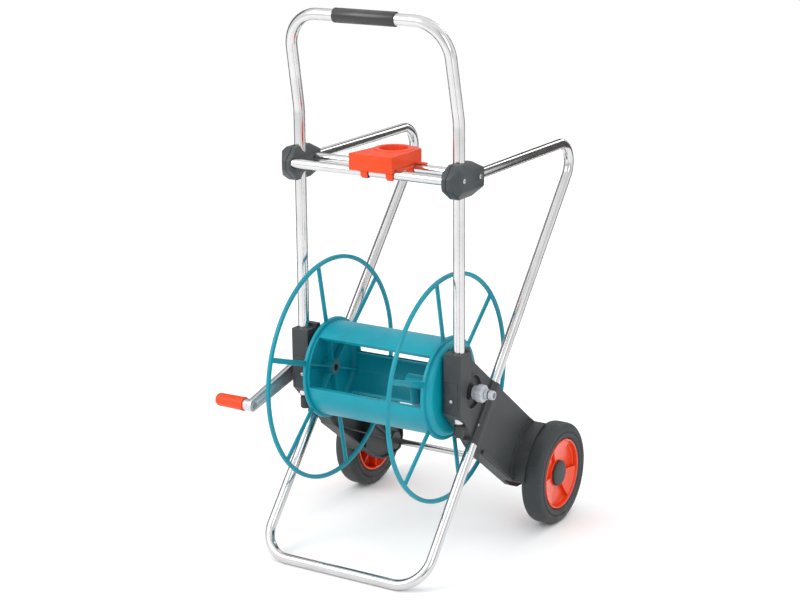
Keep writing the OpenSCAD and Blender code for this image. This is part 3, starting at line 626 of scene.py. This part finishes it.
def support():
    """Right half of the support tube, from the arm to the middle of the foot bar, and its mirror image."""
    tilt = math.atan2(ARM_REACH + FOOT_REACH, ARM_Z - LEG_R)
    leg_up = Vector((0, math.sin(tilt), math.cos(tilt)))
    bend_y = ARM_REACH - ARM_BEND * math.tan((math.pi / 2 + tilt) / 2)
    rear_centre = at(LEG_X, bend_y, ARM_Z - ARM_BEND)
    rear_end = rear_centre + ARM_BEND * Vector((0, math.cos(tilt), -math.sin(tilt)))
    foot_centre = at(LEG_X - FOOT_BEND, -FOOT_REACH, LEG_R) + FOOT_BEND * leg_up
    arm_start = at(LEG_X, ARM_START_Y, ARM_Z)
    piece = ring_of_points("support_tube_smooth", arm_start, Vector((0, 1, 0)), LEG_R, 48)
    extrude(Vector((0, bend_y - ARM_START_Y, 0)))
    spin(rear_centre, ACROSS, -(math.pi / 2 + tilt), 30)
    extrude(foot_centre + ACROSS * FOOT_BEND - rear_end)
    spin(foot_centre, leg_up.cross(ACROSS), math.pi / 2, 24)
    extrude(Vector((MID_X - foot_centre.x, 0, 0)))
    leave()
    whole = joined("support_tube_smooth", [piece, copy_of(piece, "half", mirrored())])
    hollow(whole, TUBE_WALL)
    return finished(whole, "frame", "chrome_tube", "support_tube")


def crossbar(node):
    """Straight tube between the two clamps."""
    low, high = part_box(node)
    centre = middle(node)
    end = Vector((low.x, centre.y, centre.z))
    piece = ring_of_points(node + "_smooth", end, ACROSS, size(node).z / 2, 48)
    extrude(Vector((high.x - low.x, 0, 0)))
    leave()
    hollow(piece, TUBE_WALL)
    return finished(piece, "frame", "chrome_tube", node)


def round_piece(name, body, slot, node, start, axis, outline, steps=64, closed=False):
    """Turned piece from an outline in millimetres that stands for one node."""
    piece = lathe(name, start, metres(outline), steps, axis, closed)
    return finished(piece, body, slot, node)


def axle():
    half = size("wheel_axle").x / 2 / MM
    outline = [(0, -half), (5, -half), (5.8, 0.6 - half), (6, 1.4 - half),
               (6, half - 1.4), (5.8, half - 0.6), (5, half), (0, half)]
    round_piece("wheel_axle_turned", "frame", "chrome_tube", "wheel_axle", middle("wheel_axle"),
                ACROSS, outline, 48)


def sleeve():
    half = size("handle_sleeve").x / 2 / MM
    outline = [(10.05, -half), (11.5, -half), (12.1, 0.3 - half), (12.4, 1.0 - half),
               (12.4, half - 1.0), (12.1, half - 0.3), (11.5, half), (10.05, half)]
    round_piece("handle_sleeve_turned", "frame", "black_sleeve", "handle_sleeve", middle("handle_sleeve"),
                ACROSS, outline, 64, True)


def bumpers():
    """Both end caps of the uprights: plug, neck and rounded bumper."""
    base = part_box("post_end_caps")[0].z
    outline = [(0, 0), (6, 0), (7.4, 0.35), (8.6, 1.4), (9, 3), (9, 19), (8.6, 20.6), (7.4, 21.7), (6, 22),
               (7, 22.4), (7, 25.6), (8.5, 26.1), (8.5, 39), (7.5, 40), (0, 40)]
    pieces = [lathe("post_end_caps_turned", at(side * POST_X, 0, base), metres(outline), 48, UP, False)
              for side in (-1, 1)]
    finished(joined("post_end_caps_turned", pieces), "frame", "black_plastic", "post_end_caps")


# ---------- hoops ----------

HOOP = [(192.5, -1.9), (193.5, -2.8), (195, -3.2), (198.4, -3.2), (199.5, -2.8), (200, -1.9),
        (200, 1.9), (199.5, 2.8), (198.4, 3.2), (195, 3.2), (193.5, 2.8), (192.5, 1.9)]
INNER_RING = [(84.1, -2.9), (88.8, -3), (89.7, -2.6), (90, -1.8),
              (90, 1.8), (89.7, 2.6), (88.8, 3), (84.1, 2.9)]
SPOKE_PHASE = math.radians(41.5)
SPOKES = 6
# Middle's distance from the axis, length, width, thickness and edge radius
BLADE = (0.1412, 0.1065, 0.0094, 0.0034, 0.0009)
RIB = (0.1410, 0.1060, 0.0028, 0.0056, 0.0007)


def bar(name, centre, length, width, thick, soft):
    """Soft-edged bar along Y."""
    fresh()
    bpy.ops.mesh.primitive_cube_add(size=1, location=centre)
    piece = bpy.context.object
    piece.name = name
    piece.scale = (thick, length, width)
    bpy.ops.object.transform_apply(location=True, rotation=True, scale=True)
    round_edges(piece, soft, 2)
    smooth(piece, 40)
    return piece


def flange(node):
    """Hoop, inner ring and six spokes with a raised rib."""
    centre = Vector((middle(node).x, DRUM.y, DRUM.z))
    pieces = [lathe("hoop", centre, metres(HOOP), 192), lathe("inner ring", centre, metres(INNER_RING), 96)]
    for piece in pieces:
        smooth(piece, 60)
    spoke = joined("spoke", [bar("blade", centre + Vector((0, BLADE[0], 0)), *BLADE[1:]),
                             bar("rib", centre + Vector((0, RIB[0], 0)), *RIB[1:])])
    for step in range(1, SPOKES):
        turn = SPOKE_PHASE + 2 * math.pi * step / SPOKES
        pieces.append(copy_of(spoke, "spoke copy", turned(turn, centre)))
    spoke.data.transform(turned(SPOKE_PHASE, centre))
    pieces.append(spoke)
    whole = joined(node + "_smooth", pieces)
    return finished(whole, "drum", "teal_paint", node)


# ---------- wheels ----------

TYRE_SIDE = [(64.3, 13.5), (65.0, 15.4), (66.4, 17.2), (68.5, 18.6), (71, 19.35), (73.4, 19.5),
             (75.4, 19.5), (76.0, 18.5), (77, 18.0), (78, 18.5), (78.6, 19.5), (82.5, 19.5),
             (86, 19.0), (89, 17.6), (91.3, 15.4), (92.5, 12.4), (93, 8.5), (93, 4)]
RIM = [(6.4, -19.2), (13.4, -19.2), (14, -18.6), (14, -3), (20, -2), (58.8, 5), (59.7, 3), (60, -17.6),
       (60.6, -18.3), (63.3, -18.3), (63.9, -17.7), (63.9, -13.4), (66.7, -13.2), (66.7, 13.2),
       (63.9, 13.4), (63.9, 17.2), (63.1, 18.0), (61.8, 18.1), (60.6, 17.3), (60.0, 15.6), (59.5, 9.6),
       (58, 8.0), (28.4, 4.8), (27.2, 5.2), (26.8, 8.4), (26, 9.0), (14.6, 9.0), (13.8, 8.4),
       (13.4, 6.4), (6.4, 6.4)]
RAISED = [(25, 4), (58.8, 6.4), (60.2, 14.4), (59.2, 15.2), (56, 14.2), (44, 11.6), (30, 10.2), (25, 9.8)]
CAP = [(0, 13.5), (11.5, 13.5), (11.5, 9.2), (22.8, 9.2), (23.5, 9.9), (23.5, 12.4), (22.9, 13.7),
       (21, 14.8), (16, 15.8), (8, 16.6), (0, 16.8)]
PANELS = 3
PANEL_WIDTH = 57
PANEL_LEAN = 2
INNER_RIBS = 8
# Middle seen from the hub, then length, width, thickness and edge radius
INNER_RIB_AT = Vector((-0.0072, 0.037, 0))
INNER_RIB = (0.046, 0.0026, 0.0162, 0.0006)


def sector(name, start, outline, width, phase):
    """Part of a turned ring between two angles, closed at both ends."""
    places = [start + ACROSS * along + UP * radius for radius, along in metres(outline)]
    piece = profile(name, places, True)
    spin(start, ACROSS, width, 12)
    bpy.ops.mesh.select_all(action="SELECT")
    bpy.ops.mesh.fill_holes(sides=0)
    leave()
    tidy_mesh(piece)
    piece.data.transform(turned(phase, start))
    round_edges(piece, 0.0009, 2, 40)
    smooth(piece, 40)
    return piece


def wheel(side):
    """Tyre, rim with raised panels and inner ribs, and hub cap: made on the right, mirrored for the left."""
    centre = JOINTS["wheel_right_spin"].copy()
    centre.x = middle("tyre_right").x
    tyre_outline = [(67, 13.5)] + TYRE_SIDE
    tyre_outline = tyre_outline + [(radius, -along) for radius, along in reversed(tyre_outline)]
    tyre = lathe("tyre_" + side + "_turned", centre, metres(tyre_outline), 144)
    pieces = [lathe("rim", centre, metres(RIM), 128)]
    for step in range(PANELS):
        phase = math.radians(360 / PANELS * step - PANEL_WIDTH / 2 - PANEL_LEAN)
        pieces.append(sector("panel", centre, RAISED, math.radians(PANEL_WIDTH), phase))
    rib = bar("rib", centre + INNER_RIB_AT, *INNER_RIB)
    for step in range(1, INNER_RIBS):
        pieces.append(copy_of(rib, "rib copy", turned(math.radians(360 / INNER_RIBS * step), centre)))
    pieces.append(rib)
    rim = joined("rim_" + side + "_turned", pieces)
    cap = lathe("hub_cap_" + side + "_turned", centre, metres(CAP), 64, ACROSS, False)
    if side == "left":
        for piece in (tyre, rim, cap):
            piece.data.transform(mirrored())
            piece.data.flip_normals()
    smooth(tyre, 40)
    finished(tyre, "wheel_" + side, "tyre_rubber", "tyre_" + side)
    finished(rim, "wheel_" + side, "orange_rim", "rim_" + side)
    finished(cap, "wheel_" + side, "grey_plastic", "hub_cap_" + side)


# ---------- crank ----------

GRIP = [(0, 52), (6.4, 52), (6.4, 47.6), (4.05, 47.6), (4.05, 0), (11.4, 0), (12.1, 0.4), (12.4, 1.2),
        (12.4, 3.2), (12.0, 8), (11.5, 51), (11.3, 53.6), (10.5, 55.9), (9.0, 57.4), (7.0, 58), (0, 58)]
FERRULE = [(4, 0), (10, 0), (10.5, 0.6), (10.5, 7.6), (10.2, 8.6), (9.6, 9), (4, 9)]


def crank():
    """Turned grip and ferrule on the crank pin, which points away from the drum on the left."""
    pin = JOINTS["crank_grip_spin"]
    outward = Vector((-1, 0, 0))
    grip_start = Vector((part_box("crank_grip")[1].x, pin.y, pin.z))
    round_piece("crank_grip_turned", "crank_grip", "orange_plastic", "crank_grip", grip_start, outward, GRIP)
    ferrule_start = Vector((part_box("crank_ferrule")[1].x, pin.y, pin.z))
    round_piece("crank_ferrule_turned", "drum", "crank_alloy", "crank_ferrule", ferrule_start,
                outward, FERRULE, closed=True)


support()
for bar_node in ("crossbar_front", "crossbar_rear"):
    crossbar(bar_node)
axle()
sleeve()
bumpers()
for flange_node in ("flange_left", "flange_right"):
    flange(flange_node)
for wheel_side in ("left", "right"):
    wheel(wheel_side)
crank()

# ---------- mouldings with softened edges ----------

# Node, body, finish and edge radius
SOFT_EDGES = (
    ("clamp_left_inner", "frame", "clamp_plastic", 0.0012),
    ("clamp_left_outer", "frame", "clamp_plastic", 0.0012),
    ("clamp_right_inner", "frame", "clamp_plastic", 0.0012),
    ("clamp_right_outer", "frame", "clamp_plastic", 0.0012),
    ("tube_clip_left", "frame", "grey_plastic", 0.0008),
    ("tube_clip_right", "frame", "grey_plastic", 0.0008),
    ("post_cover_left", "frame", "grey_plastic", 0.0005),
    ("post_cover_right", "frame", "grey_plastic", 0.0005),
    ("inlet_collar", "frame", "light_grey_plastic", 0.0005),
    ("crank_arm", "drum", "crank_alloy", 0.0008),
    ("drum_shell", "drum", "teal_plastic", 0.0005),
    ("tray", "tray", "orange_plastic", 0.0008),
    ("swivel_elbow", "drum", "teal_plastic", 0.0004),
)
for soft_node, soft_body, soft_slot, soft_width in SOFT_EDGES:
    softened(soft_node, soft_body, soft_slot, soft_width)

# ---------- stage, light and camera ----------

CAMERA_AZIMUTH = 31.563
CAMERA_ELEVATION = 15.581
CAMERA_ROLL = -0.473
CAMERA_DISTANCE = 3.3857
CAMERA_LENS = 87.69
AIM_FROM_UPRIGHTS = Vector((-0.0078, 0.0802, 0.4343))

CARD_HEIGHT = 1.6
# Dark cards that only reflections see: name, bearing from the camera, distance, width
CARDS = (("card ahead", 10, 1.15, 0.10), ("card left", -120, 1.05, 0.46), ("card right", 122, 1.05, 0.46),
         ("card behind left", -155, 1.05, 0.40), ("card behind right", 157, 1.05, 0.40))


def set_stage():
    """Pale floor, and the dark cards that give the chromed tubes their lines."""
    fresh()
    bpy.ops.mesh.primitive_plane_add(size=60, location=(0, 0, 0))
    floor = bpy.context.object
    floor.name = "floor"
    paper = Finish("pale floor")
    tone = noise(paper.tree, paper.place, 3.0)
    paper.feed("Base Color", mix(paper.tree, tone, rgb(0.93, 0.93, 0.93), rgb(0.95, 0.95, 0.95)))
    paper.shader.inputs["Roughness"].default_value = 0.8
    paper.shader.inputs["Specular IOR Level"].default_value = 0.0
    floor.data.materials.append(paper.material)
    cloth = Finish("dark cloth")
    tone = noise(cloth.tree, cloth.place, 40.0)
    cloth.feed("Base Color", mix(cloth.tree, tone, rgb(0.060, 0.058, 0.056), rgb(0.085, 0.083, 0.080)))
    cloth.shader.inputs["Roughness"].default_value = 0.9
    cloth.shader.inputs["Specular IOR Level"].default_value = 0.0
    for name, bearing, distance, width in CARDS:
        turn = math.radians(CAMERA_AZIMUTH + bearing)
        fresh()
        place = (distance * math.sin(turn), -distance * math.cos(turn), CARD_HEIGHT / 2)
        bpy.ops.mesh.primitive_plane_add(size=1, location=place, rotation=(math.pi / 2, 0, turn))
        card = bpy.context.object
        card.name = name
        card.scale = (width, CARD_HEIGHT, 1)
        card.visible_camera = False
        card.visible_diffuse = False
        card.visible_shadow = False
        card.data.materials.append(cloth.material)


def area_light(name, place, aim, width, height, power):
    lamp = bpy.data.lights.new(name, "AREA")
    lamp.shape = "RECTANGLE"
    lamp.size, lamp.size_y, lamp.energy = width, height, power
    holder = bpy.data.objects.new(name, lamp)
    holder.location = place
    holder.rotation_euler = (Vector(aim) - Vector(place)).to_track_quat("-Z", "Y").to_euler()
    bpy.context.scene.collection.objects.link(holder)


def set_lights():
    """Even studio light that is dimmer at both sides, and three soft lamps."""
    world = bpy.data.worlds.new("studio")
    bpy.context.scene.world = world
    world.use_nodes = True
    tree = world.node_tree
    place = tree.nodes.new("ShaderNodeTexCoord")
    mapping = tree.nodes.new("ShaderNodeMapping")
    mapping.inputs["Rotation"].default_value = (0, 0, math.radians(CAMERA_AZIMUTH))
    tree.links.new(place.outputs["Generated"], mapping.inputs["Vector"])
    split = tree.nodes.new("ShaderNodeSeparateXYZ")
    tree.links.new(mapping.outputs["Vector"], split.inputs[0])
    side = math_node(tree, "ABSOLUTE", split.outputs["X"])
    band = tree.nodes.new("ShaderNodeValToRGB")
    tree.links.new(side, band.inputs["Fac"])
    band.color_ramp.elements[0].position = 0.55
    band.color_ramp.elements[0].color = (1, 1, 1, 1)
    band.color_ramp.elements[1].position = 1.0
    band.color_ramp.elements[1].color = (0.42, 0.42, 0.43, 1)
    background = tree.nodes["Background"]
    tree.links.new(band.outputs["Color"], background.inputs["Color"])
    background.inputs["Strength"].default_value = 1.15
    area_light("key", (-1.6, -2.4, 2.6), (0, 0, 0.4), 1.8, 1.8, 44)
    area_light("fill", (2.6, -1.6, 1.8), (0, 0, 0.4), 1.6, 2.0, 16)
    area_light("rim", (0.4, 2.8, 2.2), (0, 0, 0.5), 2.0, 1.2, 20)


def set_camera():
    data = bpy.data.cameras.new("camera")
    camera = bpy.data.objects.new("camera", data)
    bpy.context.scene.collection.objects.link(camera)
    turn, rise = math.radians(CAMERA_AZIMUTH), math.radians(CAMERA_ELEVATION)
    back = Vector((math.sin(turn) * math.cos(rise), -math.cos(turn) * math.cos(rise), math.sin(rise)))
    camera.location = Vector((MID_X, UPRIGHT_Y, 0)) + AIM_FROM_UPRIGHTS + back * CAMERA_DISTANCE
    level = (-back).to_track_quat("-Z", "Y").to_matrix()
    camera.rotation_euler = (level @ Matrix.Rotation(math.radians(CAMERA_ROLL), 3, "Z")).to_euler()
    data.sensor_width = 36
    data.lens = CAMERA_LENS
    data.clip_end = 100
    bpy.context.scene.camera = camera
    bpy.context.scene.view_settings.view_transform = "Standard"


set_stage()
set_lights()
set_camera()
